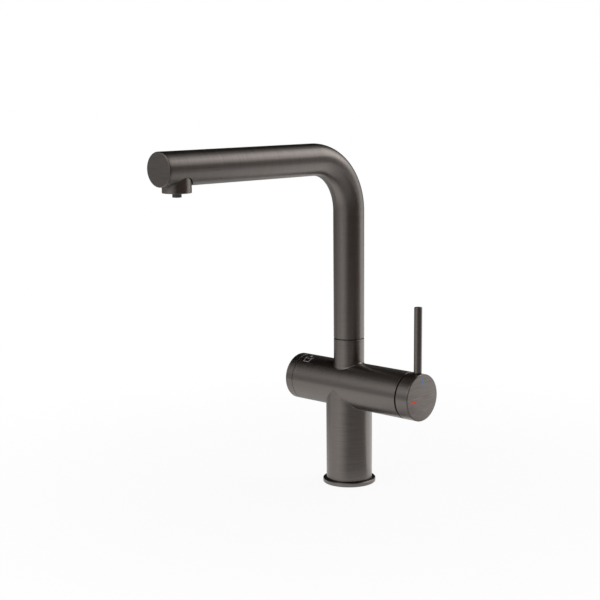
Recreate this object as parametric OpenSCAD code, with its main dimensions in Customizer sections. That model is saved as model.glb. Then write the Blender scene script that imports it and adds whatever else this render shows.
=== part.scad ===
// Kitchen tap for mains and filtered water, in millimetres.
// A fixed cross-shaped body stands on a base flange. A swivel spout carries mixed water
// and, in a hose of its own, filtered water. The lever cap at +X mixes hot and cold, and
// the plain knob at -X opens the filtered water.
// The origin is the middle of the base where it meets the worktop, +Z is up, and the
// spout points to -Y.

/* [Column and flange] */
// Outside diameter of the upright column
column_d = 48.4; // [46:0.1:48.4]
// Wall of the hollow column
column_wall = 4; // [3:0.5:5]
// Height of the column's foot above the worktop
column_foot_z = 5; // [4.5:0.5:9]
// Diameter of the base flange
flange_d = 55.7; // [54:0.1:70]
// Height of the flange's upper face above the worktop
flange_top_z = 4.4; // [3.4:0.1:4.4]
// Wall of the flange's collar, inside which hoses and shank go through the flange
collar_wall = 2.2; // [1.5:0.1:2.6]
// Thickness of the base seal
seal_h = 1.6; // [1.2:0.2:2]
// How far the base seal stands below the flange
seal_proud = 0.1; // [0.1:0.1:0.6]

/* [Barrel] */
// Outside diameter of the barrel that lies across the column
barrel_d = 48.56; // [48.56:0.5:54]
// Height of the barrel's axis above the worktop
barrel_z = 105.3; // [100:1:150]
// Distance from the column's axis to the barrel's lever end
barrel_right = 82.3; // [80:1:110]
// Distance from the column's axis to the barrel's knob end
barrel_left = 60.2; // [58:1:90]
// Rounding of the rims on both sides of the lever cap's gap, and of the neck's rim
rim_round = 0.5; // [0.2:0.1:0.8]
// Rounding of the rims on both sides of the filter knob's seam
seam_round = 0.35; // [0.1:0.05:0.5]
// Bevel along the edges of the flange and of the column's foot
flange_bevel = 0.5; // [0.3:0.1:0.8]

/* [Neck and spout] */
// Outside diameter of the neck and of the spout tube
tube_d = 32; // [31:0.5:34]
// Wall of the spout tube
tube_wall = 1.5; // [1.2:0.1:1.6]
// Height of the neck's upper rim
neck_top_z = 154.8; // [152:0.2:190]
// Gap between neck and spout, filled by the swivel ring
neck_gap = 1.2; // [0.8:0.2:2]
// Height of the axis of the spout's horizontal arm
spout_z = 342.4; // [300:5:450]
// Distance from the column's axis to the spout's closed end
spout_reach = 253; // [200:1:300]
// Bend radius of the spout on its centre line
bend_r = 54.5; // [45:0.5:80]
// Thickness of the disc that closes the spout
end_disc_t = 3; // [2:0.5:4]
// Rounding of the spout's closed end
end_round = 1; // [0.5:0.1:1.4]

/* [Outlet] */
// Distance from the spout's closed end to the outlet's axis
outlet_inset = 21; // [19:1:30]
// Diameter of the outlet boss under the spout
boss_d = 27; // [26.4:0.1:27.4]
// How far the boss stands below the spout tube
boss_drop = 5.9; // [4:0.1:12]
// Gap around the boss where it leaves the tube
boss_gap = 0.75; // [0.7:0.05:0.8]
// How far the hole in the tube lies nearer to the column than the boss in it
boss_hole_shift = 0.65; // [0:0.05:0.65]
// Diameter of the filtered-water nozzle
nozzle_d = 8.5; // [7:0.1:9]
// Bore of the filtered-water nozzle
nozzle_bore = 4.6; // [3:0.1:5]
// How far the nozzle stands below the boss
nozzle_drop = 4; // [1:0.1:8]
// Width across flats of the aerator's cells
cell_w = 1.3; // [1:0.1:1.4]

/* [Mixer cap and lever] */
// Gap between barrel and mixer cap
cap_gap = 1.5; // [1:0.1:3]
// Length of the mixer cap
cap_l = 15.2; // [14:0.1:20]
// Rounding of the cap's outer edge
cap_round = 1; // [0.5:0.1:1.4]
// Diameter of the lever rod
lever_d = 8.2; // [7:0.1:8.4]
// Height of the lever's tip above the barrel's axis
lever_top = 92.1; // [70:1:130]
// Distance from the cap's outer face to the lever's axis
lever_inset = 6; // [5.8:0.1:6.6]
// Diameter of the recess round the lever's foot
recess_d = 9.8; // [9.6:0.1:10.4]
// Depth of the lever recess below the cap's crown
recess_depth = 5; // [4.5:0.25:6]
// Angle that the mixer turns, from cold to hot
mixer_angle = 105; // [90:5:120]
// Length of the blue mark
cold_mark_l = 7; // [5:0.5:9]
// Length of the red mark
hot_mark_l = 9.4; // [5:0.2:10]
// Width of the blue and the red mark
mark_w = 1.5; // [1:0.1:2.4]
// Distance from the cap's rim to the middle of the blue mark
cold_mark_inset = 7.3; // [6:0.1:12]
// Distance from the cap's rim to the middle of the red mark
hot_mark_inset = 10.2; // [6:0.1:12]

/* [Filter knob] */
// Gap between barrel and filter knob
knob_gap = 0.3; // [0.2:0.1:0.5]
// Length of the filter knob outside the barrel
knob_l = 9.5; // [9:0.5:16]
// Rounding of the knob's outer edge
knob_round = 1; // [0.5:0.1:1.4]

/* [Waterways and fits] */
// Radius of the hot, cold and filter waterways
way_r = 3.25; // [2.5:0.25:3.5]
// Distance of the three hose ports from the column's axis
port_ring_r = 10.6; // [10.2:0.1:11]
// Core radius of the three hose ports
port_r = 4.5; // [4:0.1:4.6]
// Depth of the threaded hose ports
port_depth = 10; // [8:1:12]
// Wall of the threaded ring that holds the fixing shank
shank_ring_wall = 3.85; // [3.3:0.05:4.3]
// Height of the ring that holds the fixing shank
shank_ring_h = 14; // [10:1:24]
// Radius of the mixer cartridge
cartridge_r = 17.5; // [16.5:0.1:17.6]
// Depth of the pocket for the mixer cartridge, from the barrel's lever end
cartridge_pocket_l = 40; // [39:0.5:44]
// Depth of the pocket for the filter valve, from the barrel's knob end
valve_pocket_l = 30.2; // [30:0.2:34]
// Diameter of the filtered-water hose
hose_d = 8; // [7:0.25:8]
// Wall of the filtered-water hose
hose_wall = 1.25; // [1:0.05:1.3]
// Radial clearance of parts that turn in each other
run_gap = 0.05; // [0.02:0.01:0.08]
// Radial clearance of parts that are fixed in each other
fixed_gap = 0.1; // [0.05:0.01:0.15]

/* [Hidden] */

$fn = 96;
// Length by which a cutter runs past the face that it opens
past = 1;
// Gap between two parts that are drawn apart but look closed
seam = 0.3;

GUNMETAL = "#6b645e";
BRASS = "#b5984f";
RUBBER = "#1c1b1b";
BLACK_PLASTIC = "#2c2b2b";
GREY_PLASTIC = "#3d4040";
WHITE_PLASTIC = "#d8d6d0";
CERAMIC = "#e6e3da";
STEEL = "#9a9893";
BLUE = "#4a78a8";
RED = "#cc4020";

// Column, flange and neck
column_r = column_d / 2;
column_bore_r = column_r - column_wall;
barrel_r = barrel_d / 2;
// Metal between the hollow in the column, where the hose ports open, and the barrel's axis
port_roof = 21.3;
column_bore_top = barrel_z - port_roof;
tube_r = tube_d / 2;
tube_bore_r = tube_r - tube_wall;
flange_r = flange_d / 2;
// Step on the flange that the column stands on, and collar that centres it
register_inset = 1.4;
register_r = column_r - register_inset;
collar_gap = 0.2;
collar_r = column_bore_r - collar_gap;
flange_opening_r = collar_r - collar_wall;
collar_h = 3.4;
seal_w = 2.8;
seal_inset = 2;
seal_outer_r = flange_r - seal_inset;
shank_ring_z = column_foot_z + collar_h + seam;
shank_ring_r = column_bore_r - fixed_gap;
shank_r = shank_ring_r - shank_ring_wall;

// Swivel joint in the neck
neck_wall = 4;
spigot_wall = 2.5;
spigot_r = tube_r - neck_wall;
neck_bore_r = spigot_r + run_gap;
chamber_floor_rise = 18.7;
chamber_floor_z = barrel_z + chamber_floor_rise;
chamber_h = 3;
spigot_foot_z = chamber_floor_z + chamber_h;
spigot_bore_r = spigot_r - spigot_wall;
spigot_head_h = 12;
spout_foot_z = neck_top_z + neck_gap;
swivel_ring_inset = 0.8;
// Grooves in the spigot, as heights of their middles
ring_groove_w = 2.2;
o_ring_r = 0.8;
o_ring_groove_depth = 1.6;
lower_o_ring_rise = 3;
lower_o_ring_z = spigot_foot_z + lower_o_ring_rise;
upper_o_ring_drop = 7;
upper_o_ring_z = neck_top_z - upper_o_ring_drop;
slide_ring_drop = 3;
slide_ring_z = neck_top_z - slide_ring_drop;
lock_z = (lower_o_ring_z + upper_o_ring_z) / 2;
lock_groove_w = 3;
lock_groove_depth = 1.2;
lock_screw_r = 2;
lock_tip_r = 1.2;
lock_screw_sink = 0.6;

// Filtered-water riser, on the swivel axis
riser_r = 3.95;
riser_bore_r = 2.4;
riser_socket_r = riser_r + run_gap;
riser_top_drop = 4.4;
riser_top_z = neck_top_z - riser_top_drop;
riser_foot_rise = 12.7;
riser_foot_z = barrel_z + riser_foot_rise;
filter_return_rise = 9.4;
filter_return_r = 2;

// Hose
hose_r = hose_d / 2;
hose_bore_r = hose_r - hose_wall;
barb_r = hose_bore_r - run_gap;
barb_wall = 0.9;
barb_bore_r = barb_r - barb_wall;
barb_l = 11;
ferrule_l = 9;
ferrule_wall = 0.7;
ferrule_inset = 1;
tail_socket_l = 8;
tail_foot_z = riser_top_z - tail_socket_l;
tail_r = 6;
tail_head_z = riser_top_z + 2;
tail_bridge_z = riser_top_z + seam;
hose_foot_z = tail_head_z + seam;

// Outlet
outlet_y = -(spout_reach - outlet_inset);
tube_bottom_z = spout_z - tube_r;
boss_r = boss_d / 2;
boss_foot_z = tube_bottom_z - boss_drop;
nozzle_r = nozzle_d / 2;
nozzle_bore_r = nozzle_bore / 2;
nozzle_foot_z = boss_foot_z - nozzle_drop;
tube_end_y = -(spout_reach - end_disc_t);
plug_l = 3;
block_r = tube_bore_r - fixed_gap;
block_outer_y = tube_end_y + plug_l + seam;
block_overhang = 18;
block_inner_y = outlet_y + block_overhang;
outlet_edge_round = 0.4;
boss_hole_r = boss_r + boss_gap;
boss_hole_y = outlet_y + boss_hole_shift;
// Height of the groove in the block round the boss, from the tube's underside
boss_groove_h = 5;
boss_wall = 2;
aerator_r = boss_r - boss_wall;
aerator_l = 12.5;
aerator_top_z = boss_foot_z + aerator_l;
aerator_inset = 1;
aerator_body_r = aerator_r - fixed_gap;
aerator_bore_r = nozzle_r + fixed_gap;
washer_h = 1;
chamber_r = 9;
chamber_rise = 6.6;
chamber_top_z = spout_z + chamber_rise;
inlet_r = 8;
hose_end_offset = 11;
hose_end_y = outlet_y + hose_end_offset;

// Mixer: positions along X
nut_zone_l = 14.6;
nut_shoulder_x = barrel_right - nut_zone_l;
barrel_wall = 4.3;
nut_zone_r = barrel_r - barrel_wall;
seat_x = barrel_right - cartridge_pocket_l;
base_x = seat_x + seam;
base_t = 3.6;
// Rubber rings of the three cartridge ports, which sit in recesses of the cartridge base
port_seal_r = way_r + 0.7;
port_seal_seat_r = port_seal_r + o_ring_r + fixed_gap;
port_seal_seat_depth = 2 * o_ring_r - seam;
housing_x = base_x + base_t;
housing_shoulder_rise = 0.5;
housing_shoulder_x = nut_shoulder_x + housing_shoulder_rise;
housing_neck_l = 8;
housing_top_x = housing_shoulder_x + housing_neck_l;
housing_neck_r = cartridge_r - 4.7;
cartridge_pocket_r = cartridge_r + fixed_gap;
disc_pocket_r = cartridge_r - 4.3;
fixed_disc_t = 3.5;
moving_disc_t = 3.5;
moving_disc_x = housing_x + fixed_disc_t;
driver_x = moving_disc_x + moving_disc_t;
driver_t = 4.5;
// Free length above the drivers of both spindles
driver_gap = 0.4;
driver_top_x = driver_x + driver_t + driver_gap;
spindle_r = 4.5;
nut_x = housing_shoulder_x;
nut_t = 10;
nut_end_x = nut_x + nut_t;
glide_ring_w = 3;
cap_x = barrel_right + cap_gap;
cap_face_x = cap_x + cap_l;
cold_mark_r = barrel_r - cold_mark_inset;
hot_mark_r = barrel_r - hot_mark_inset;
lever_x = cap_face_x - lever_inset;
lever_r = lever_d / 2;
lever_stud_l = 7.5;
lever_tip_round = 0.7;
// Height above the cap's crown at which the lever's tapered foot reaches full thickness
lever_foot_rise = 1.4;
hub_r = 9;
hub_depth = 8;
hub_floor_x = cap_x + hub_depth;
adapter_gap = 1.4;
adapter_x = nut_end_x + adapter_gap;
square_w = 6.4;
square_inset = 2;
square_end_x = hub_floor_x - square_inset;
// Pockets in the back of cap and knob. Their rim bears on the glide ring.
pocket_outer_r = nut_zone_r - glide_ring_w;
cap_pocket_inner_r = hub_r + 3;
cap_pocket_depth = 4;
cap_screw_inset = 5.5;
cap_screw_x = cap_x + cap_screw_inset;
mark_depth = 0.4;
// How far the marks' middles lie off the lever's two end positions
cold_mark_lean = 4;
hot_mark_lean = 5;
hot_mark_angle = mixer_angle - hot_mark_lean;
// Directions of the marks' length
cold_mark_turn = 0;
hot_mark_twist = 4.6;
hot_mark_turn = hot_mark_angle - hot_mark_twist;
set_screw_r = 2;
set_screw_sink = 2;
socket_w = 2;
socket_depth = 2;

// Waterways of the mixer
mixed_rise = 10;
mixed_up_x = 8.5;
supply_drop = 6;
supply_y = port_ring_r * sin(45);
supply_x = port_ring_r * cos(45);
disc_way_r = 2.6;

// Filter valve: distances along -X
valve_floor = barrel_left - valve_pocket_l;
valve_chamber_r = 11.5;
valve_chamber_l = 10;
valve_thread_start = valve_floor + valve_chamber_l;
valve_thread_r = 10.5;
valve_thread_l = 6;
knob_recess = valve_thread_start + valve_thread_l;
valve_nose_r = 8.5;
valve_tip = valve_floor + 1;
valve_disc_r = 6.5;
valve_disc_t = 3;
fork_start = valve_tip + 2 * valve_disc_t;
fork_l = 5.6;
fork_end = fork_start + fork_l;
valve_bore_end = fork_end + driver_gap;
hex_w = 22;
hex_t = 5;
gland_r = 6.2;
gland_end = knob_recess + hex_t + 2.6;
valve_stem_r = 3.5;
stem_square_w = 4.8;
stem_end = barrel_left - 1;
knob_start = barrel_left + knob_gap;
knob_face = knob_start + knob_l;
knob_hub_r = 11;
knob_hub_bore_r = 8;
knob_hub_start = gland_end + 1;
knob_face_t = 3.5;
knob_hub_floor = knob_face - knob_face_t;
knob_pocket_inner_r = knob_hub_r + 1.5;
knob_pocket_depth = 3;
knob_screw_inset = 6.2;
knob_screw_at = knob_face - knob_screw_inset;

// Turns a shape drawn along +Z so that it points along +X from the barrel's axis.
module along_lever(x = 0) {
    translate([x, 0, barrel_z]) rotate([0, 90, 0]) children();
}

// The same towards -X, where the distance u is counted from the column's axis.
module along_knob(u = 0) {
    translate([-u, 0, barrel_z]) rotate([0, -90, 0]) children();
}

// The same towards -Y at the height of the spout's arm.
module along_arm(y = 0) {
    translate([0, y, spout_z]) rotate([90, 0, 0]) children();
}

// Half section of a disc or tube: inner radius, outer radius, start and length.
module section(r_in, r_out, start, length) {
    translate([r_in, start]) square([r_out - r_in, length]);
}

// A straight ring or tube along Z.
module ring(r_in, r_out, length) {
    rotate_extrude() section(r_in, r_out, 0, length);
}

// A solid cylinder whose far edge is rounded. Its near edge may be rounded too, by less.
module rounded_end(r, length, round, near_round = 0) {
    rotate_extrude() {
        translate([0, near_round]) square([r, length - round - near_round]);
        square([r - round, length]);
        intersection() {
            translate([r - round, length - round]) circle(round);
            square([r, length]);
        }
        if (near_round > 0) {
            square([r - near_round, length - round]);
            intersection() {
                translate([r - near_round, near_round]) circle(near_round);
                square([r, length - round]);
            }
        }
    }
}

// A short screw with a hexagon socket in its far end.
module set_screw(r, length, socket) {
    difference() {
        cylinder(r = r, h = length);
        translate([0, 0, length - socket_depth])
            cylinder(d = socket / cos(30), h = socket_depth + past, $fn = 6);
    }
}

// A rubber ring of round section.
module o_ring(middle_r) {
    rotate_extrude() translate([middle_r, 0]) circle(o_ring_r, $fn = 32);
}

// Hot, cold and filter ports and the waterways that lead from them.
module waterways() {
    for (side = [-1, 1]) {
        translate([supply_x, side * supply_y, 0]) {
            translate([0, 0, column_bore_top - past]) cylinder(r = port_r, h = port_depth + past);
            translate([0, 0, column_bore_top])
                cylinder(r = way_r, h = barrel_z - supply_drop - column_bore_top);
        }
        translate([supply_x, side * supply_y, barrel_z - supply_drop])
            rotate([0, 90, 0]) cylinder(r = way_r, h = seat_x - supply_x + past);
    }
    translate([-port_ring_r, 0, 0]) {
        translate([0, 0, column_bore_top - past]) cylinder(r = port_r, h = port_depth + past);
        translate([0, 0, column_bore_top]) cylinder(r = way_r, h = barrel_z - column_bore_top);
    }
    along_knob(port_ring_r) cylinder(r = way_r, h = valve_floor - port_ring_r + past);
    translate([mixed_up_x, 0, barrel_z + mixed_rise])
        rotate([0, 90, 0]) cylinder(r = way_r, h = seat_x - mixed_up_x + past);
    translate([mixed_up_x, 0, barrel_z + mixed_rise])
        cylinder(r = way_r, h = chamber_floor_z - barrel_z - mixed_rise + past);
    translate([0, 0, barrel_z + filter_return_rise]) rotate([0, -90, 0])
        cylinder(r = filter_return_r, h = valve_floor + past);
    translate([0, 0, barrel_z + filter_return_rise - filter_return_r])
        cylinder(r = riser_socket_r, h = chamber_floor_z - barrel_z);
}

// The fixed cross: hollow column, barrel with a pocket in each end, and neck.
module main_body() {
    color(GUNMETAL) difference() {
        union() {
            translate([0, 0, column_foot_z + flange_bevel])
                cylinder(r = column_r, h = barrel_z - column_foot_z - flange_bevel);
            translate([0, 0, column_foot_z])
                cylinder(r1 = column_r - flange_bevel, r2 = column_r, h = flange_bevel);
            along_lever() rounded_end(barrel_r, barrel_right, rim_round);
            along_knob() rounded_end(barrel_r, barrel_left, seam_round);
            translate([0, 0, barrel_z])
                rounded_end(tube_r, neck_top_z - barrel_z, rim_round);
        }
        translate([0, 0, column_foot_z - past])
            cylinder(r = column_bore_r, h = column_bore_top - column_foot_z + past);
        translate([0, 0, chamber_floor_z]) cylinder(r = neck_bore_r, h = neck_top_z);
        translate([0, 0, lock_z]) rotate([-90, 0, 0])
            cylinder(r = lock_screw_r, h = tube_r + past);
        along_lever(seat_x) cylinder(r = cartridge_pocket_r, h = barrel_right);
        along_lever(nut_shoulder_x) cylinder(r = nut_zone_r, h = barrel_right);
        along_knob(valve_floor) cylinder(r = valve_chamber_r, h = valve_thread_start - valve_floor);
        along_knob(valve_thread_start)
            cylinder(r = valve_thread_r + fixed_gap, h = knob_recess - valve_thread_start + past);
        along_knob(knob_recess) cylinder(r = nut_zone_r, h = barrel_left);
        waterways();
    }
}

// Flange between column and worktop, with a register for the column and a seal groove.
module base_flange() {
    groove_inner_r = seal_outer_r - seal_w - fixed_gap;
    color(GUNMETAL) rotate_extrude() difference() {
        union() {
            polygon([
                [flange_opening_r, seal_proud],
                [flange_r - flange_bevel, seal_proud],
                [flange_r, seal_proud + flange_bevel],
                [flange_r, flange_top_z - flange_bevel],
                [flange_r - flange_bevel, flange_top_z],
                [flange_opening_r, flange_top_z]
            ]);
            section(flange_opening_r, register_r, seal_proud, column_foot_z - seal_proud);
            section(flange_opening_r, collar_r, seal_proud,
                column_foot_z + collar_h - seal_proud);
        }
        section(groove_inner_r, seal_outer_r + fixed_gap, 0, seal_h);
    }
}

module base_seal() {
    color(RUBBER) ring(seal_outer_r - seal_w, seal_outer_r, seal_h);
}

// Threaded ring in the column's foot. A hollow fixing shank screws into it from below.
module shank_ring() {
    color(BRASS) translate([0, 0, shank_ring_z])
        ring(shank_r, shank_ring_r, shank_ring_h);
}

module swivel_ring() {
    color(BLACK_PLASTIC) translate([0, 0, neck_top_z])
        ring(spigot_r + 2 * fixed_gap, tube_r - swivel_ring_inset, neck_gap);
}

// Screw at the back of the neck. Its tip runs in the spigot's groove and holds the spout.
module spout_set_screw() {
    tip_end = spigot_r - lock_groove_depth + seam;
    shoulder_gap = 0.4;
    shoulder = spigot_r + shoulder_gap;
    head = tube_r - lock_screw_sink;
    color(STEEL) translate([0, 0, lock_z]) rotate([-90, 0, 0]) {
        translate([0, 0, tip_end]) cylinder(r = lock_tip_r, h = shoulder - tip_end);
        translate([0, 0, shoulder])
            set_screw(lock_screw_r - run_gap, head - shoulder, socket_w);
    }
}

// Tube that takes the filtered water up into the spout, on the swivel axis.
module filter_riser() {
    color(BRASS) translate([0, 0, riser_foot_z])
        ring(riser_bore_r, riser_r, riser_top_z - riser_foot_z);
}

// Places children at the cartridge's cold, hot and mixed ports, facing +X.
module at_cartridge_ports() {
    for (side = [-1, 1])
        translate([0, side * supply_y, barrel_z - supply_drop]) rotate([0, 90, 0]) children();
    translate([0, 0, barrel_z + mixed_rise]) rotate([0, 90, 0]) children();
}

module cartridge_base() {
    color(WHITE_PLASTIC) difference() {
        along_lever(base_x) cylinder(r = cartridge_r, h = base_t);
        translate([base_x - past, 0, 0]) at_cartridge_ports()
            cylinder(r = disc_way_r, h = base_t + 2 * past);
        translate([base_x - past, 0, 0]) at_cartridge_ports()
            cylinder(r = port_seal_seat_r, h = past + port_seal_seat_depth);
    }
}

module cartridge_seals() {
    color(RUBBER) translate([seat_x + o_ring_r, 0, 0]) at_cartridge_ports() o_ring(port_seal_r);
}

module cartridge_fixed_disc() {
    color(CERAMIC) difference() {
        along_lever(housing_x) cylinder(r = disc_pocket_r - fixed_gap, h = fixed_disc_t);
        translate([housing_x - past, 0, 0]) at_cartridge_ports()
            cylinder(r = disc_way_r, h = fixed_disc_t + 2 * past);
    }
}

module cartridge_housing() {
    color(WHITE_PLASTIC) along_lever() rotate_extrude() difference() {
        union() {
            section(0, cartridge_r, housing_x, housing_shoulder_x - housing_x);
            section(0, housing_neck_r, housing_x, housing_top_x - housing_x);
        }
        section(0, disc_pocket_r, housing_x - past, driver_top_x - housing_x + past);
        section(0, spindle_r + run_gap, housing_x, housing_top_x);
    }
}

// Ring nut that clamps the cartridge, with four slots for a pin key.
module cartridge_nut() {
    slot_w = 3;
    slot_depth = 3;
    color(BRASS) difference() {
        along_lever(nut_x) ring(housing_neck_r + fixed_gap, nut_zone_r - fixed_gap, nut_t);
        along_lever(nut_end_x - slot_depth) for (turn = [0, 90])
            rotate([0, 0, turn]) translate([-nut_zone_r, -slot_w / 2, 0])
                cube([2 * nut_zone_r, slot_w, slot_depth + past]);
    }
}

// Ring that guides the mixer cap and closes the view into the gap.
module cap_glide_ring() {
    color(BLACK_PLASTIC) along_lever(nut_end_x)
        ring(nut_zone_r - glide_ring_w, nut_zone_r - fixed_gap, cap_x - seam - nut_end_x);
}

// Quarter-turn valve for the filtered water: nose with two windows, thread, hexagon, gland.
module filter_valve() {
    window_w = 6;
    window_l = 2.6;
    color(BRASS) along_knob() difference() {
        union() {
            translate([0, 0, valve_tip])
                cylinder(r = valve_nose_r, h = valve_thread_start - valve_tip);
            translate([0, 0, valve_thread_start])
                cylinder(r = valve_thread_r, h = knob_recess - valve_thread_start);
            translate([0, 0, knob_recess]) cylinder(d = hex_w / cos(30), h = hex_t, $fn = 6);
            cylinder(r = gland_r, h = gland_end);
        }
        translate([0, 0, -past])
            cylinder(r = valve_disc_r + fixed_gap, h = valve_bore_end + past);
        cylinder(r = valve_stem_r + run_gap, h = gland_end + past);
        translate([-window_w / 2, -valve_chamber_r, valve_tip + 2 * valve_disc_t])
            cube([window_w, 2 * valve_chamber_r, window_l]);
    }
}

module filter_valve_seal() {
    inner_inset = 0.3;
    outer_inset = 1.2;
    color(RUBBER) along_knob(valve_floor)
        ring(way_r + inner_inset, valve_nose_r - outer_inset, valve_tip - valve_floor);
}

// Ceramic disc with two round ports.
module valve_disc(r, turn) {
    port_offset = 3.4;
    window_r = 1.8;
    difference() {
        cylinder(r = r, h = valve_disc_t);
        for (side = [-1, 1]) rotate([0, 0, turn]) translate([side * port_offset, 0, -past])
            cylinder(r = window_r, h = valve_disc_t + 2 * past);
    }
}

module filter_fixed_disc() {
    color(CERAMIC) along_knob(valve_tip) valve_disc(valve_disc_r, 0);
}

// Outside shape of the spout: upright, bend and arm, at the given radius.
module spout_run(r, foot, arm_end) {
    translate([0, 0, foot]) cylinder(r = r, h = spout_z - bend_r - foot);
    translate([0, -bend_r, spout_z - bend_r]) rotate([90, 0, 90])
        rotate_extrude(angle = 90) translate([bend_r, 0]) circle(r);
    along_arm(-bend_r) cylinder(r = r, h = -arm_end - bend_r);
}

module spout_tube() {
    color(GUNMETAL) difference() {
        spout_run(tube_r, spout_foot_z, tube_end_y);
        spout_run(tube_bore_r, spout_foot_z - past, tube_end_y - past);
        translate([0, boss_hole_y, tube_bottom_z - past])
            cylinder(r = boss_hole_r, h = tube_r + past);
    }
}

module spout_end_cap() {
    color(GUNMETAL) {
        along_arm(tube_end_y) rounded_end(tube_r, end_disc_t, end_round);
        along_arm(tube_end_y + plug_l) cylinder(r = block_r, h = plug_l);
    }
}

// Half section of the spigot's grooves for two rubber rings, slide ring and set screw.
module spigot_grooves() {
    for (z = [lower_o_ring_z, upper_o_ring_z])
        section(spigot_r - o_ring_groove_depth, spigot_r + past,
            z - ring_groove_w / 2, ring_groove_w);
    section(spigot_r - o_ring_groove_depth, spigot_r + past,
        slide_ring_z - ring_groove_w / 2, ring_groove_w);
    section(spigot_r - lock_groove_depth, spigot_r + past,
        lock_z - lock_groove_w / 2, lock_groove_w);
}

// Spigot that turns in the neck. Its head is brazed into the spout tube.
module spout_spigot() {
    color(BRASS) rotate_extrude() difference() {
        union() {
            section(spigot_bore_r, spigot_r, spigot_foot_z, spout_foot_z - spigot_foot_z);
            section(spigot_bore_r, tube_bore_r - fixed_gap, spout_foot_z, spigot_head_h);
        }
        spigot_grooves();
    }
}

module spigot_o_rings() {
    color(RUBBER) for (z = [lower_o_ring_z, upper_o_ring_z])
        translate([0, 0, z]) o_ring(spigot_r - o_ring_r);
}

module spigot_slide_ring() {
    color(BLACK_PLASTIC) translate([0, 0, slide_ring_z - ring_groove_w / 2 + fixed_gap])
        ring(spigot_r - o_ring_groove_depth + fixed_gap, spigot_r, ring_groove_w - 2 * fixed_gap);
}

// Block inside the arm. Its boss leaves the tube downwards and holds the aerator.
module outlet_block() {
    color(GUNMETAL) difference() {
        union() {
            along_arm(block_inner_y) cylinder(r = block_r, h = block_inner_y - block_outer_y);
            translate([0, outlet_y, spout_z]) rotate([180, 0, 0])
                rounded_end(boss_r, spout_z - boss_foot_z, outlet_edge_round);
        }
        translate([0, outlet_y, boss_foot_z - past])
            cylinder(r = aerator_r, h = aerator_top_z + washer_h - boss_foot_z + past);
        translate([0, outlet_y, boss_foot_z]) cylinder(r = chamber_r, h = chamber_top_z - boss_foot_z);
        along_arm(block_inner_y + past) cylinder(r = inlet_r, h = block_inner_y - outlet_y + past);
        difference() {
            translate([0, boss_hole_y, tube_bottom_z])
                cylinder(r = boss_hole_r, h = boss_groove_h);
            translate([0, outlet_y, tube_bottom_z - past])
                cylinder(r = boss_r, h = boss_groove_h + 2 * past);
        }
    }
}

// Aerator round the nozzle: a housing whose lower face is a field of hexagonal cells.
module aerator() {
    plate_t = 1.6;
    rim_w = 1.2;
    hub_w = 1;
    wall = 0.5;
    key_w = 2.4;
    key_depth = 1.2;
    pitch = cell_w + wall;
    reach = ceil(aerator_body_r / pitch) + 1;
    corner_r = cell_w / 2 / cos(30);
    inner = aerator_bore_r + hub_w + corner_r;
    outer = aerator_body_r - rim_w - corner_r;
    foot = boss_foot_z + aerator_inset;
    color(BLACK_PLASTIC) translate([0, outlet_y, foot]) {
        linear_extrude(plate_t) difference() {
            circle(aerator_body_r);
            circle(aerator_bore_r);
            for (row = [-reach : reach], col = [-reach : reach]) {
                x = (col + (row % 2 == 0 ? 0 : 0.5)) * pitch;
                y = row * pitch * sin(60);
                if (norm([x, y]) > inner && norm([x, y]) < outer)
                    translate([x, y]) rotate(30) circle(corner_r, $fn = 6);
            }
        }
        difference() {
            translate([0, 0, plate_t])
                ring(aerator_body_r - rim_w, aerator_body_r, aerator_top_z - foot - plate_t);
            for (turn = [0, 90]) rotate(turn) translate([-aerator_body_r - past, -key_w / 2, -past])
                cube([2 * (aerator_body_r + past), key_w, key_depth]);
        }
        translate([0, 0, plate_t])
            ring(aerator_bore_r, aerator_bore_r + hub_w, aerator_top_z - foot - plate_t);
    }
}

module aerator_seal() {
    inner_inset = 0.2;
    color(RUBBER) translate([0, outlet_y, aerator_top_z])
        ring(chamber_r + inner_inset, aerator_body_r, washer_h);
}

// Nozzle for the filtered water: an elbow that hangs in the middle of the aerator.
module filter_nozzle() {
    elbow_top_z = chamber_top_z - seam;
    shoulder = hose_end_y - outlet_y - barb_l;
    arm_inset = 0.3;
    color(GREY_PLASTIC) difference() {
        union() {
            translate([0, outlet_y, elbow_top_z]) rotate([180, 0, 0])
                rounded_end(nozzle_r, elbow_top_z - nozzle_foot_z, outlet_edge_round);
            along_arm(hose_end_y + seam - barb_l)
                cylinder(r = nozzle_r - arm_inset, h = shoulder + nozzle_r);
            along_arm(hose_end_y + barb_l)
                cylinder(r = barb_r, h = 2 * barb_l);
        }
        translate([0, outlet_y, nozzle_foot_z - past])
            cylinder(r = nozzle_bore_r, h = spout_z - nozzle_foot_z + past);
        along_arm(hose_end_y + barb_l + past)
            cylinder(r = barb_bore_r, h = hose_end_y + barb_l + past - outlet_y);
    }
}

// The hose for filtered water, whole along its way inside the spout.
module filter_hose() {
    color(WHITE_PLASTIC) difference() {
        spout_run(hose_r, hose_foot_z, hose_end_y);
        spout_run(hose_bore_r, hose_foot_z - past, hose_end_y - past);
    }
}

module hose_ferrules() {
    color(STEEL) {
        translate([0, 0, hose_foot_z + ferrule_inset])
            ring(hose_r + run_gap, hose_r + ferrule_wall, ferrule_l);
        along_arm(hose_end_y + ferrule_inset + ferrule_l)
            ring(hose_r + run_gap, hose_r + ferrule_wall, ferrule_l);
    }
}

// Fitting on the hose's lower end. It turns on the riser.
module hose_tail() {
    color(BRASS) rotate_extrude() difference() {
        union() {
            section(0, tail_r, tail_foot_z, tail_head_z - tail_foot_z);
            section(0, barb_r, tail_head_z, barb_l);
        }
        section(0, riser_socket_r, tail_foot_z - past, tail_bridge_z - tail_foot_z + past);
        section(0, barb_bore_r, tail_foot_z, tail_head_z + barb_l - tail_foot_z + past);
    }
}

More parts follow.
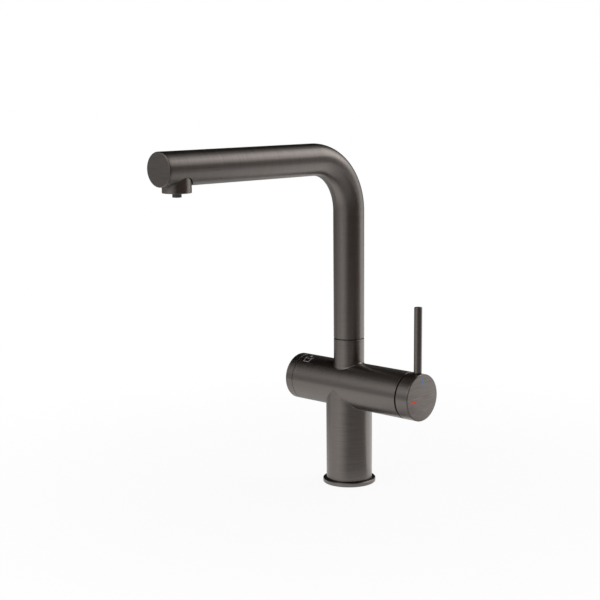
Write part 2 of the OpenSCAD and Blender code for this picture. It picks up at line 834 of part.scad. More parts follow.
// Shape of a mark on the cap's face. Its middle lies at an angle from +Z towards -Y, and its
// length points at the angle called turn.
module mark(length, angle, middle_r, turn, gap) {
    translate([cap_face_x - mark_depth - gap, 0, barrel_z]) rotate([angle, 0, 0])
        translate([0, 0, middle_r]) rotate([turn - angle, 0, 0])
            translate([0, -mark_w / 2 - gap, -length / 2 - gap])
                cube([mark_depth + 2 * gap + (gap > 0 ? past : 0), mark_w + 2 * gap,
                    length + 2 * gap]);
}

module cold_mark_shape(gap = 0) {
    mark(cold_mark_l, -cold_mark_lean, cold_mark_r, cold_mark_turn, gap);
}

module hot_mark_shape(gap = 0) {
    mark(hot_mark_l, hot_mark_angle, hot_mark_r, hot_mark_turn, gap);
}

module mixer_cap() {
    recess_floor = barrel_r - recess_depth;
    color(GUNMETAL) difference() {
        along_lever(cap_x) rounded_end(barrel_r, cap_l, cap_round, rim_round);
        along_lever(cap_x - past) cylinder(r = hub_r + run_gap, h = hub_floor_x - cap_x + past);
        along_lever(cap_x - past)
            ring(cap_pocket_inner_r, pocket_outer_r, cap_pocket_depth + past);
        translate([lever_x, 0, barrel_z + recess_floor]) cylinder(r = recess_d / 2, h = barrel_r);
        translate([lever_x, 0, barrel_z + recess_floor - lever_stud_l - seam])
            cylinder(r = lever_r / 2 + run_gap, h = barrel_r);
        translate([cap_screw_x, 0, barrel_z]) rotate([180, 0, 0])
            cylinder(r = set_screw_r, h = barrel_r + past);
        cold_mark_shape(run_gap);
        hot_mark_shape(run_gap);
    }
}

// Lever rod with a tapered foot and a stud that screws into the cap.
module lever_rod() {
    foot_z = barrel_z + barrel_r + lever_foot_rise;
    seat_z = barrel_z + barrel_r - recess_depth;
    color(GUNMETAL) translate([lever_x, 0, 0]) {
        translate([0, 0, foot_z])
            rounded_end(lever_r, barrel_z + lever_top - foot_z, lever_tip_round);
        translate([0, 0, seat_z]) cylinder(r1 = lever_r / 2, r2 = lever_r, h = foot_z - seat_z);
        translate([0, 0, seat_z - lever_stud_l]) cylinder(r = lever_r / 2, h = lever_stud_l);
    }
}

module handle_adapter() {
    color(BLACK_PLASTIC) difference() {
        along_lever(adapter_x) cylinder(r = hub_r, h = hub_floor_x - seam - adapter_x);
        along_lever(adapter_x - past) translate([-square_w / 2, -square_w / 2, 0])
            cube([square_w, square_w, square_end_x + seam - adapter_x + past]);
    }
}

module cap_set_screw() {
    head = barrel_r - set_screw_sink;
    color(STEEL) translate([cap_screw_x, 0, barrel_z]) rotate([180, 0, 0])
        translate([0, 0, hub_r + run_gap])
            set_screw(set_screw_r - run_gap, head - hub_r, socket_w);
}

// Spindle of the mixer cartridge: driver, round shaft and square end.
module cartridge_spindle() {
    w = square_w - 2 * fixed_gap;
    color(WHITE_PLASTIC) {
        along_lever(driver_x) cylinder(r = disc_pocket_r - 3 * fixed_gap, h = driver_t);
        along_lever(driver_x) cylinder(r = spindle_r, h = housing_top_x + seam - driver_x);
        along_lever(housing_top_x) translate([-w / 2, -w / 2, 0])
            cube([w, w, square_end_x - housing_top_x]);
    }
}

// Moving ceramic disc: a channel across its face joins the open ports.
module cartridge_moving_disc() {
    channel_w = 5.6;
    channel_l = 18;
    channel_depth = 2;
    color(CERAMIC) difference() {
        along_lever(moving_disc_x) cylinder(r = disc_pocket_r - 2 * fixed_gap, h = moving_disc_t);
        translate([moving_disc_x - past, -channel_w / 2, barrel_z - channel_l / 2])
            cube([channel_depth + past, channel_w, channel_l]);
    }
}

module cold_mark() {
    color(BLUE) cold_mark_shape();
}

module hot_mark() {
    color(RED) hot_mark_shape();
}

// Plain round knob whose hub reaches into the barrel.
module filter_knob() {
    color(GUNMETAL) difference() {
        union() {
            along_knob(knob_start) rounded_end(barrel_r, knob_l, knob_round, seam_round);
            along_knob(knob_hub_start) cylinder(r = knob_hub_r, h = knob_start - knob_hub_start);
        }
        along_knob(knob_hub_start - past)
            cylinder(r = knob_hub_bore_r + run_gap, h = knob_hub_floor - knob_hub_start + past);
        along_knob(knob_start - past)
            ring(knob_pocket_inner_r, pocket_outer_r, knob_pocket_depth + past);
        along_knob(knob_screw_at) rotate([0, -90, 0])
            cylinder(r = set_screw_r, h = barrel_r + past);
    }
}

module knob_adapter() {
    color(BLACK_PLASTIC) along_knob() difference() {
        translate([0, 0, knob_hub_start])
            cylinder(r = knob_hub_bore_r, h = knob_hub_floor - seam - knob_hub_start);
        translate([-stem_square_w / 2, -stem_square_w / 2, knob_hub_start - past])
            cube([stem_square_w, stem_square_w, stem_end + seam - knob_hub_start + past]);
    }
}

module knob_set_screw() {
    head = barrel_r - set_screw_sink;
    color(STEEL) along_knob(knob_screw_at) rotate([0, -90, 0])
        translate([0, 0, knob_hub_bore_r + run_gap])
            set_screw(set_screw_r - run_gap, head - knob_hub_bore_r, socket_w);
}

// Spindle of the filter valve: a slotted driver, round stem and square end.
module filter_spindle() {
    w = stem_square_w - 2 * fixed_gap;
    slot_w = 3.4;
    slot_depth = 3;
    color(BRASS) along_knob() {
        difference() {
            translate([0, 0, fork_start])
                cylinder(r = valve_disc_r - fixed_gap, h = fork_end - fork_start);
            translate([-slot_w / 2, -valve_disc_r, fork_start - past])
                cube([slot_w, 2 * valve_disc_r, slot_depth + past]);
        }
        translate([0, 0, fork_end - past])
            cylinder(r = valve_stem_r, h = gland_end + seam - fork_end + past);
        translate([-w / 2, -w / 2, gland_end]) cube([w, w, stem_end - gland_end]);
    }
}

module filter_moving_disc() {
    color(CERAMIC) along_knob(valve_tip + valve_disc_t) valve_disc(valve_disc_r - fixed_gap, 90);
}

main_body();
base_flange();
base_seal();
shank_ring();
swivel_ring();
spout_set_screw();
filter_riser();
cartridge_base();
cartridge_seals();
cartridge_fixed_disc();
cartridge_housing();
cartridge_nut();
cap_glide_ring();
filter_valve();
filter_valve_seal();
filter_fixed_disc();
spout_tube();
spout_end_cap();
spout_spigot();
spigot_o_rings();
spigot_slide_ring();
outlet_block();
aerator();
aerator_seal();
filter_nozzle();
filter_hose();
hose_ferrules();
hose_tail();
mixer_cap();
lever_rod();
handle_adapter();
cap_set_screw();
cartridge_spindle();
cartridge_moving_disc();
cold_mark();
hot_mark();
filter_knob();
knob_adapter();
knob_set_screw();
filter_spindle();
filter_moving_disc();
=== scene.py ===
"""Kitchen tap for mains and filtered water: finish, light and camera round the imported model.

All lengths are in metres, in the model's own frame: +Z up, the spout towards -Y, and the
barrel along X with the lever at +X.
"""

import math

import bmesh
import bpy
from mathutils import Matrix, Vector


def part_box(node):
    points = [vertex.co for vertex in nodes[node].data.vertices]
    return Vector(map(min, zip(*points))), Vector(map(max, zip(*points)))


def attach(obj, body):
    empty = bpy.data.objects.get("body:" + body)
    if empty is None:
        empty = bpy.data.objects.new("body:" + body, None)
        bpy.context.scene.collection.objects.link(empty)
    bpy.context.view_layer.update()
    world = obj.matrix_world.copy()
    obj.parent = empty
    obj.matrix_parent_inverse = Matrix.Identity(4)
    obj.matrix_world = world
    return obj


MM = 0.001
WHITE = (1, 1, 1, 1)

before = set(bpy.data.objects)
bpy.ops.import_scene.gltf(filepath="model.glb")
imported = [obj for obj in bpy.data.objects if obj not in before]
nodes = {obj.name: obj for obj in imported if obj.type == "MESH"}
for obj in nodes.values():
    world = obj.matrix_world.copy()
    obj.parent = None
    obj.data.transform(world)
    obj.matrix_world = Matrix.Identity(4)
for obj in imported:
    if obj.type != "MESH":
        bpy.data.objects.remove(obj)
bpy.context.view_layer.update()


# Sizes of the model. Those of column and bend can't be read from a node, so they are typed in.

COLUMN_R = 24.2 * MM
BEND_R = 54.5 * MM


def node_size(name):
    low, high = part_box(name)
    return high - low


def node_middle(name):
    low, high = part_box(name)
    return (low + high) / 2


# The mixer cap is as thick as the barrel and lies on its axis
barrel_z = node_middle("mixer_cap").z
barrel_r = node_size("mixer_cap").z / 2
tube_r = node_size("spout_tube").x / 2
arm_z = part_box("spout_tube")[1].z - tube_r
boss_y = node_middle("filter_nozzle").y


# Node trees

# Sockets of a Mix node for each kind of value: the factor, both values and the result
MIX_SOCKETS = {"VECTOR": (0, 4, 5, 1), "FLOAT": (0, 2, 3, 0)}

# Mean of a noise texture, and the part of its range that most of it lies in
NOISE_MIDDLE = 0.5
NOISE_LOW = 0.3
NOISE_HIGH = 0.7


class NodeTree:
    """Node tree of a material or a world, with short calls that add a node and feed it."""

    def __init__(self, owner):
        owner.use_nodes = True
        self.tree = owner.node_tree
        self.tree.nodes.clear()

    def feed(self, socket, value):
        if isinstance(value, bpy.types.NodeSocket):
            self.tree.links.new(value, socket)
        else:
            socket.default_value = value

    def node(self, kind, settings=None, **inputs):
        made = self.tree.nodes.new(kind)
        for name, value in (settings or {}).items():
            setattr(made, name, value)
        for name, value in inputs.items():
            self.feed(made.inputs[name.replace("_", " ")], value)
        return made

    def in_order(self, kind, settings, *values):
        """The result of a node whose inputs are fed in their order."""
        made = self.node(kind, settings)
        for socket, value in zip(made.inputs, values):
            self.feed(socket, value)
        return made.outputs[0]

    def math(self, operation, *values):
        return self.in_order("ShaderNodeMath", {"operation": operation}, *values)

    def mix_shaders(self, factor, one, other):
        return self.in_order("ShaderNodeMixShader", {}, factor, one, other)

    def show(self, surface, kind="ShaderNodeOutputMaterial"):
        output = self.tree.nodes.new(kind)
        self.tree.links.new(surface, output.inputs[0])


class Shader(NodeTree):
    """Node tree of one material, with the object's own coordinates and normal at hand."""

    def __init__(self, name):
        self.material = bpy.data.materials.new(name)
        super().__init__(self.material)
        coordinates = self.node("ShaderNodeTexCoord").outputs
        self.place = coordinates["Object"]
        self.normal = coordinates["Normal"]
        self.x, self.y, self.z = self.node("ShaderNodeSeparateXYZ", Vector=self.place).outputs

    def add(self, a, b):
        return self.math("ADD", a, b)

    def times(self, a, b):
        return self.math("MULTIPLY", a, b)

    def vector(self, x, y, z):
        return self.node("ShaderNodeCombineXYZ", X=x, Y=y, Z=z).outputs[0]

    def length(self, vector):
        made = self.node("ShaderNodeVectorMath", {"operation": "LENGTH"})
        self.feed(made.inputs[0], vector)
        return made.outputs["Value"]

    def radius(self, a, b):
        return self.length(self.vector(a, b, 0.0))

    def choose(self, factor, a, b, kind="VECTOR"):
        made = self.node("ShaderNodeMix", {"data_type": kind, "clamp_factor": True})
        *inputs, result = MIX_SOCKETS[kind]
        for index, value in zip(inputs, (factor, a, b)):
            self.feed(made.inputs[index], value)
        return made.outputs[result]

    def noise(self, vector, scale=1.0, detail=2.0):
        return self.node("ShaderNodeTexNoise", Vector=vector, Scale=scale,
                         Detail=detail).outputs["Fac"]

    def spread(self, value, low, high, to_low=0.0, to_high=1.0, kind="LINEAR"):
        """A value that runs from to_low to to_high while another runs from low to high."""
        return self.node("ShaderNodeMapRange", {"interpolation_type": kind}, Value=value,
                         From_Min=low, From_Max=high, To_Min=to_low, To_Max=to_high).outputs[0]

    def varied(self, noise, low, high):
        """A value that a noise moves between two limits."""
        return self.spread(noise, NOISE_LOW, NOISE_HIGH, low, high)

    def swing(self, noise, amount):
        """A noise moved to a mean of 0 and scaled."""
        return self.times(self.add(noise, -NOISE_MIDDLE), amount)

    def tint(self, colour, factor):
        """The colour with its brightness multiplied by a factor that varies."""
        made = self.node("ShaderNodeVectorMath", {"operation": "SCALE"})
        self.feed(made.inputs[0], colour)
        self.feed(made.inputs["Scale"], factor)
        return made.outputs[0]

    def bump(self, height, distance):
        return self.node("ShaderNodeBump", Height=height, Distance=distance).outputs[0]

    def finish(self, **inputs):
        self.show(self.node("ShaderNodeBsdfPrincipled", **inputs).outputs[0])
        return self.material


# Brushed gunmetal

GUNMETAL = (0.184, 0.165, 0.1525)
# A darker copy of the same gunmetal for the spout's end face: painted shade on one finish
GUNMETAL_PAINTED_SHADE = (0.152, 0.136, 0.126)

# Widths of the lines, how far a line runs, and the depth of their relief
FINE_LINE = 0.22 * MM
LINE = 0.9 * MM
BROAD_LINE = 5 * MM
LINE_LENGTH = 26 * MM
LINE_DEPTH = 0.02 * MM

# Shares of the widths in the tone and in the relief
FINE_PART = 0.25
LINE_PART = 0.55
BROAD_PART = 0.16
BODY_BROAD_PART = 0.05
FINE_RELIEF = 0.35
LINE_RELIEF = 0.65

BRUSHED_ROUGHNESS = (0.31, 0.39)
BRUSHED_ANISOTROPY = 0.7

# Contrast of the lines, fitted piece by piece to the photograph. The lines are the metal's own
# grain, but where their contrast is raised, on the column's right and on the arm's upper part,
# it also stands in for the streaks that show up in the highlights there: painted sheen
PLAIN_CONTRAST = 0.5
BARREL_CONTRAST = (0.18, 0.28)
COLUMN_CONTRAST = (0.6, 0.95)
SPOUT_CONTRAST = (0.21, 0.55)
ARM_TOP_CONTRAST = 0.7
SPOUT_END_CONTRAST = 0.9
SIDE_CONTRAST = 0.35
CAP_FACE_CONTRAST = 1.5
KNOB_FACE_CONTRAST = 1.0

# Heights and places between which the contrast changes
BARREL_FOOT_DROP = 15 * MM
COLUMN_LEFT_X = -5 * MM
COLUMN_RIGHT_X = 15 * MM
TUBE_TOP_DROP = 100 * MM
ARM_FOOT_DROP = 12 * MM
ARM_TOP_RISE = (2 * MM, 9 * MM)

# Share of the normal along an axis at which a face begins to count as an end face
END_FACE = (0.9, 0.97)

# Distance from the barrel's surface at which column and neck begin
BARREL_SKIN = 0.03 * MM

AXES = {"X": (1, 0, 0), "Y": (0, 1, 0), "Z": (0, 0, 1)}


def axis_mask(s, axis):
    """1 where the surface faces along an axis, as on an end face."""
    parts = s.node("ShaderNodeSeparateXYZ", Vector=s.normal)
    return s.spread(s.math("ABSOLUTE", parts.outputs["XYZ".index(axis)]), *END_FACE)


def turned(axis):
    """Grain of a turned piece: lines round an axis through the given point."""
    def grain(s, centre=(0, 0, 0)):
        x, y, z = (s.add(part, -offset) for part, offset in zip((s.x, s.y, s.z), centre))
        along, a, b = {"X": (x, y, z), "Y": (y, x, z), "Z": (z, x, y)}[axis]
        across = s.add(along, s.radius(a, b))
        radial = {"X": (0.0, a, b), "Y": (a, 0.0, b), "Z": (a, b, 0.0)}[axis]
        tangent = s.choose(axis_mask(s, axis), AXES[axis], s.vector(*radial))
        return across, a, b, tangent
    return grain


def faced(side_axis, line_axis):
    """Grain of a turned side round X or Y, and of an end face that is brushed in straight lines
    along the other of the two."""
    def grain(s):
        centre = (0, 0, {"X": barrel_z, "Y": arm_z}[side_axis])
        across, a, b, _ = turned(side_axis)(s, centre)
        end = axis_mask(s, side_axis)
        slow = {"X": s.x, "Y": s.y}[line_axis]
        tangent = s.choose(end, AXES[side_axis], AXES["Z"])
        return (s.choose(end, across, s.z, "FLOAT"), s.choose(end, a, slow, "FLOAT"),
                s.choose(end, b, slow, "FLOAT"), tangent)
    return grain


def off_barrel(s):
    """1 on the upright column and neck and 0 on the barrel, and the distance from its axis."""
    from_axis = s.radius(s.y, s.add(s.z, -barrel_z))
    return s.math("GREATER_THAN", from_axis, barrel_r + BARREL_SKIN), from_axis


def cross_grain(s):
    """Lines round the barrel, and round the upright column and neck of the body."""
    upright, from_axis = off_barrel(s)
    across_x = s.add(s.x, from_axis)
    across_z = s.add(s.z, s.radius(s.x, s.y))
    across = s.choose(upright, across_x, across_z, "FLOAT")
    a = s.choose(upright, s.y, s.x, "FLOAT")
    b = s.choose(upright, s.z, s.y, "FLOAT")
    tangent = s.choose(upright, AXES["X"], AXES["Z"])
    return across, a, b, tangent


def spout_grain(s):
    """Lines round the spout, whose middle line runs up, through the bend and along -Y."""
    rise = s.add(s.z, BEND_R - arm_z)
    back = s.add(s.y, BEND_R)
    angle = s.math("ARCTAN2", s.math("MAXIMUM", rise, 0.0), s.math("MAXIMUM", back, 0.0))
    below = s.math("MINIMUM", rise, 0.0)
    beyond = s.math("MAXIMUM", s.times(back, -1.0), 0.0)
    across = s.add(s.add(below, s.times(angle, BEND_R)), beyond)
    slow = s.add(s.y, s.times(s.z, -1.0))
    tangent = s.vector(0.0, s.times(s.math("SINE", angle), -1.0), s.math("COSINE", angle))
    return across, s.x, slow, tangent


def body_contrast(s):
    """Fainter lines low on the barrel, and stronger ones on the column's right, where the
    column's bright edge lies: those stronger lines are in part painted sheen.
    """
    barrel = s.spread(s.z, barrel_z - BARREL_FOOT_DROP, barrel_z, *BARREL_CONTRAST)
    upright = s.spread(s.x, COLUMN_LEFT_X, COLUMN_RIGHT_X, *COLUMN_CONTRAST)
    return s.choose(off_barrel(s)[0], barrel, upright, "FLOAT")


def spout_contrast(s):
    """Faint lines on the upright tube, and stronger ones on the arm, most on its upper part,
    where the arm's bright band lies: those stronger lines are in part painted sheen.
    """
    rising = s.spread(s.z, arm_z - TUBE_TOP_DROP, arm_z - ARM_FOOT_DROP, *SPOUT_CONTRAST)
    low, high = ARM_TOP_RISE
    return s.add(rising, s.spread(s.z, arm_z + low, arm_z + high, 0.0, ARM_TOP_CONTRAST))


def face_contrast(face):
    """Faint lines on the turned side, and their own contrast on the end face along X."""
    return lambda s: s.choose(axis_mask(s, "X"), SIDE_CONTRAST, face, "FLOAT")


def brushed(name, grain, contrast=PLAIN_CONTRAST, colour=GUNMETAL, broad_part=BROAD_PART):
    """Metal brushed in fine lines. grain gives the coordinate across the lines, two slow
    coordinates along them, and the direction across the lines on the surface. contrast is a
    number, or a function that gives a value that varies, and broad_part the share of the
    widest bands."""
    s = Shader(name)
    across, a, b, tangent = grain(s)
    if callable(contrast):
        contrast = contrast(s)
    slow_a = s.times(a, 1 / LINE_LENGTH)
    slow_b = s.times(b, 1 / LINE_LENGTH)

    def lines(width, detail):
        return s.noise(s.vector(s.times(across, 1 / width), slow_a, slow_b), detail=detail)

    fine, line, broad = lines(FINE_LINE, 1.0), lines(LINE, 2.0), lines(BROAD_LINE, 1.0)
    tone = s.add(s.add(s.times(fine, FINE_PART), s.times(line, LINE_PART)),
                 s.times(broad, broad_part))
    middle = NOISE_MIDDLE * (FINE_PART + LINE_PART + broad_part)
    brightness = s.add(s.times(s.add(tone, -middle), contrast), 1.0)
    relief = s.add(s.times(fine, FINE_RELIEF), s.times(line, LINE_RELIEF))
    turn = s.node("ShaderNodeVectorTransform",
                  {"vector_type": "VECTOR", "convert_from": "OBJECT", "convert_to": "WORLD"},
                  Vector=tangent).outputs[0]
    return s.finish(Base_Color=s.tint(colour, brightness), Metallic=1.0,
                    Roughness=s.varied(line, *BRUSHED_ROUGHNESS),
                    Anisotropic=BRUSHED_ANISOTROPY, Normal=s.bump(relief, LINE_DEPTH),
                    Tangent=turn)


# Other materials

MOULD_CLOUD = 9 * MM
MOULD_ROUGHNESS_SWING = 0.06

TOOL_MARK = 0.3 * MM
TOOL_MARK_LENGTH = 25 * MM
TOOL_MARK_DEPTH = 0.01 * MM
TOOL_MARK_TONE = 0.25
STAIN = 7 * MM
STAIN_TONE = 0.2
STAIN_ROUGHNESS = (-0.06, 0.08)

PEEL = 0.6 * MM
PEEL_DEPTH = 0.01 * MM
PEEL_ROUGHNESS = (0.24, 0.34)
ENAMEL_CLOUD = 2 * MM
ENAMEL_TONE = (0.94, 1.06)
ENAMEL_SPECULAR = 0.15


def moulded(name, colour, roughness, grain=0.25 * MM, depth=0.01 * MM, variation=0.12):
    """Moulded plastic, rubber or ceramic with a fine texture."""
    s = Shader(name)
    skin = s.noise(s.place, 1 / grain)
    cloud = s.noise(s.place, 1 / MOULD_CLOUD)
    tone = s.add(s.swing(skin, variation), s.swing(cloud, variation))
    rough = s.varied(skin, roughness - MOULD_ROUGHNESS_SWING, roughness + MOULD_ROUGHNESS_SWING)
    return s.finish(Base_Color=s.tint(colour, s.add(tone, 1.0)), Roughness=rough,
                    Normal=s.bump(skin, depth))


def machined(name, colour, roughness, axis, centre):
    """Bare turned metal with tool marks round an axis."""
    s = Shader(name)
    across, a, b, _ = turned(axis)(s, centre)
    marks = s.noise(s.vector(s.times(across, 1 / TOOL_MARK), s.times(a, 1 / TOOL_MARK_LENGTH),
                             s.times(b, 1 / TOOL_MARK_LENGTH)))
    stain = s.noise(s.place, 1 / STAIN, detail=3.0)
    tone = s.add(s.swing(marks, TOOL_MARK_TONE), s.swing(stain, STAIN_TONE))
    rough = s.varied(stain, *(roughness + change for change in STAIN_ROUGHNESS))
    return s.finish(Base_Color=s.tint(colour, s.add(tone, 1.0)), Metallic=1.0, Roughness=rough,
                    Normal=s.bump(marks, TOOL_MARK_DEPTH))


def enamel(name, colour):
    """Glossy enamel that fills an engraved mark, with a faint orange peel."""
    s = Shader(name)
    peel = s.noise(s.place, 1 / PEEL, detail=1.0)
    cloud = s.noise(s.place, 1 / ENAMEL_CLOUD)
    return s.finish(Base_Color=s.tint(colour, s.varied(cloud, *ENAMEL_TONE)),
                    Roughness=s.varied(peel, *PEEL_ROUGHNESS),
                    Specular_IOR_Level=ENAMEL_SPECULAR, Normal=s.bump(peel, PEEL_DEPTH))


BRASS = (0.71, 0.54, 0.27)
STEEL = (0.50, 0.49, 0.47)

metal_cross = brushed("gunmetal_body", cross_grain, body_contrast, broad_part=BODY_BROAD_PART)
metal_spout = brushed("gunmetal_spout", spout_grain, spout_contrast)
# The spout's end face takes the darker copy of the gunmetal, which is painted shade
metal_spout_end = brushed("gunmetal_spout_end", faced("Y", "X"), SPOUT_END_CONTRAST,
                          GUNMETAL_PAINTED_SHADE)
metal_cap = brushed("gunmetal_cap", faced("X", "Y"), face_contrast(CAP_FACE_CONTRAST))
metal_knob = brushed("gunmetal_knob", faced("X", "Y"), face_contrast(KNOB_FACE_CONTRAST))
metal_upright = brushed("gunmetal_upright", turned("Z"))
metal_boss = brushed("gunmetal_boss", lambda s: turned("Z")(s, (0, boss_y, 0)))
rubber = moulded("rubber", (0.022, 0.022, 0.022), roughness=0.72)
black_plastic = moulded("black_plastic", (0.020, 0.019, 0.019), roughness=0.5)
grey_plastic = moulded("grey_plastic", (0.062, 0.068, 0.070), roughness=0.42)
white_plastic = moulded("white_plastic", (0.76, 0.75, 0.71), roughness=0.4, variation=0.05)
ceramic = moulded("ceramic", (0.82, 0.79, 0.73), roughness=0.16, grain=0.12 * MM,
                  depth=0.002 * MM, variation=0.05)
brass_z = machined("brass_z", BRASS, roughness=0.32, axis="Z", centre=(0, 0, 0))
brass_x = machined("brass_x", BRASS, roughness=0.32, axis="X", centre=(0, 0, barrel_z))
steel = machined("screw_steel", STEEL, roughness=0.3, axis="Z", centre=(0, 0, 0))
blue = enamel("blue_enamel", (0.012, 0.25, 0.62))
red = enamel("red_enamel", (0.88, 0.055, 0.002))
etched = moulded("etched_mark", (0.42, 0.41, 0.40), roughness=0.55, grain=0.2 * MM)

FINISH = {
    "main_body": metal_cross,
    "base_flange": metal_upright,
    "base_seal": rubber,
    "shank_ring": brass_z,
    "swivel_ring": black_plastic,
    "spout_set_screw": steel,
    "filter_riser": brass_z,
    "cartridge_base": white_plastic,
    "cartridge_seals": rubber,
    "cartridge_fixed_disc": ceramic,
    "cartridge_housing": white_plastic,
    "cartridge_nut": brass_x,
    "cap_glide_ring": black_plastic,
    "filter_valve": brass_x,
    "filter_valve_seal": rubber,
    "filter_fixed_disc": ceramic,
    "spout_tube": metal_spout,
    "spout_end_cap": metal_spout_end,
    "spout_spigot": brass_z,
    "spigot_o_rings": rubber,
    "spigot_slide_ring": black_plastic,
    "outlet_block": metal_boss,
    "aerator": black_plastic,
    "aerator_seal": rubber,
    "filter_nozzle": grey_plastic,
    "filter_hose": white_plastic,
    "hose_ferrules": steel,
    "hose_tail": brass_z,
    "mixer_cap": metal_cap,
    "lever_rod": metal_upright,
    "handle_adapter": black_plastic,
    "cap_set_screw": steel,
    "cartridge_spindle": white_plastic,
    "cartridge_moving_disc": ceramic,
    "cold_mark": blue,
    "hot_mark": red,
    "filter_knob": metal_knob,
    "knob_adapter": black_plastic,
    "knob_set_screw": steel,
    "filter_spindle": brass_x,
    "filter_moving_disc": ceramic,
}

for name, material in FINISH.items():
    materials = nodes[name].data.materials
    materials.clear()
    materials.append(material)


# Pieces that are added to the model's own

SHARP_ANGLE = math.radians(35)


def new_object(name, data):
    made = bpy.data.objects.new(name, data)
    bpy.context.scene.collection.objects.link(made)
    return made


def solid(name, rings, material, body, closed=True):
    """A closed mesh from rings of points. The last ring joins the first, or both are capped."""
    bm = bmesh.new()
    made = [[bm.verts.new(point) for point in ring] for ring in rings]
    for one, other in zip(made, made[1:] + (made[:1] if closed else [])):
        for k in range(len(one)):
            m = (k + 1) % len(one)
            bm.faces.new((one[k], one[m], other[m], other[k]))
    if not closed:
        bm.faces.new(list(reversed(made[0])))
        bm.faces.new(made[-1])
    bmesh.ops.recalc_face_normals(bm, faces=bm.faces)
    mesh = bpy.data.meshes.new(name)
    bm.to_mesh(mesh)
    bm.free()
    mesh.polygons.foreach_set("use_smooth", [True] * len(mesh.polygons))
    mesh.set_sharp_from_angle(angle=SHARP_ANGLE)
    piece = new_object(name, mesh)
    mesh.materials.append(material)
    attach(piece, body)


# Rounded corners between barrel and upright shafts

NECK_CORNER_R = 1.8 * MM
COLUMN_CORNER_R = 1.0 * MM
FILLET_STEPS = 240
FILLET_ARC = 8
EMBED = 0.25 * MM
SMALLEST_TURN = 1e-4


def slerp(a, b, k):
    angle = a.angle(b)
    if angle < SMALLEST_TURN:
        return a.lerp(b, k)
    return (a * math.sin((1 - k) * angle) + b * math.sin(k * angle)) / math.sin(angle)


def fillet(name, shaft_r, side, radius):
    """The rounded corner between an upright shaft and the barrel, as a ball rolled round it
    would leave it. side is 1 above the barrel and -1 under it."""
    rings = []
    for k in range(FILLET_STEPS):
        angle = math.tau * k / FILLET_STEPS
        outward = Vector((math.cos(angle), math.sin(angle), 0))
        centre = outward * (shaft_r + radius)
        centre.z = barrel_z + side * math.sqrt((barrel_r + radius) ** 2 - centre.y ** 2)
        to_barrel = Vector((0, -centre.y, barrel_z - centre.z)).normalized()
        ring = [centre + radius * slerp(-outward, to_barrel, j / FILLET_ARC)
                for j in range(FILLET_ARC + 1)]
        corner = outward * (shaft_r - EMBED)
        barrel_rise = math.sqrt(barrel_r ** 2 - (shaft_r * outward.y) ** 2)
        corner.z = barrel_z + side * (barrel_rise - EMBED)
        ring.append(ring[-1] + EMBED * to_barrel)
        ring.append(corner)
        ring.append(ring[0] - EMBED * outward)
        rings.append(ring)
    solid(name, rings, metal_cross, "body")


fillet("neck_fillet", tube_r, 1, NECK_CORNER_R)
fillet("column_fillet", COLUMN_R, -1, COLUMN_CORNER_R)


# Pictogram on the barrel: a glass and a drop, etched into the finish. Its places are in
# millimetres: along X, and round the barrel from -Y.

STROKE = 0.5 * MM
MARK_TOP = barrel_r + 0.02 * MM
MARK_FOOT = barrel_r - 0.15 * MM
PATH_STEP = 0.6
SHARPEST_MITRE = 0.5
DROP_STEPS = 28

GLASS = [(-54.2, 31.6), (-52.9, 23.4), (-45.9, 23.4), (-44.6, 31.6)]
WATER_LEVEL = [(-53.5, 29.1), (-45.3, 29.1)]


def on_barrel(x, around, radius):
    angle = around * MM / barrel_r
    return Vector((x * MM, -radius * math.cos(angle), barrel_z + radius * math.sin(angle)))


def etched_line(name, corners):
    """An open line of even width along corners."""
    path = []
    for a, b in zip(corners, corners[1:]):
        a, b = Vector(a), Vector(b)
        count = max(1, int((b - a).length / PATH_STEP))
        path += [a.lerp(b, k / count) for k in range(count)]
    path.append(Vector(corners[-1]))
    rings = []
    for k, point in enumerate(path):
        before = path[k - 1] if k else point
        after = path[k + 1] if k < len(path) - 1 else point
        one = (point - before).normalized() if point != before else (after - point).normalized()
        two = (after - point).normalized() if point != after else one
        normal = Vector((-(one + two).y, (one + two).x)).normalized()
        mitre = max(SHARPEST_MITRE, normal.dot(Vector((-two.y, two.x))))
        reach = STROKE / MM / 2 / mitre
        ring = []
        for across, radius in ((reach, MARK_FOOT), (reach, MARK_TOP), (-reach, MARK_TOP),
                               (-reach, MARK_FOOT)):
            ring.append(on_barrel(*(point + normal * across), radius))
        rings.append(ring)
    solid(name, rings, etched, "body", False)


def etched_drop(name, x, around, length, width):
    """A small drop, pointed at its upper end."""
    rim = []
    for k in range(DROP_STEPS):
        t = math.tau * k / DROP_STEPS
        rim.append((x + width / 2 * math.sin(t) * math.sin(t / 2),
                    around + length / 2 * math.cos(t)))
    rings = [[on_barrel(*place, radius) for place in rim] for radius in (MARK_FOOT, MARK_TOP)]
    solid(name, rings, etched, "body", False)


etched_line("glass_mark", GLASS)
etched_line("level_mark", WATER_LEVEL)
etched_drop("drop_mark", x=-49.7, around=34.0, length=3.6, width=2.8)


# Camera, solved from the silhouettes in the photograph

CAMERA_AZIMUTH = 41.198
CAMERA_ELEVATION = 11.253
CAMERA_PLACE = Vector((0.96505, -1.07503, 0.42580))
CAMERA_SENSOR = 36
CAMERA_LENS = 84.19
CAMERA_SHIFT = (-0.1104, 0.0887)
CAMERA_CLIP = (0.05, 100)


def toward(azimuth, elevation):
    """Direction from the object, with azimuth 0 at -Y and 90 at +X, in degrees."""
    a, e = math.radians(azimuth), math.radians(elevation)
    return Vector((math.sin(a) * math.cos(e), -math.cos(a) * math.cos(e), math.sin(e)))


def aim(made, azimuth, elevation):
    """Turns a camera or lamp that stands in a direction from the object back towards it."""
    made.rotation_mode = "QUATERNION"
    made.rotation_quaternion = (-toward(azimuth, elevation)).to_track_quat("-Z", "Y")


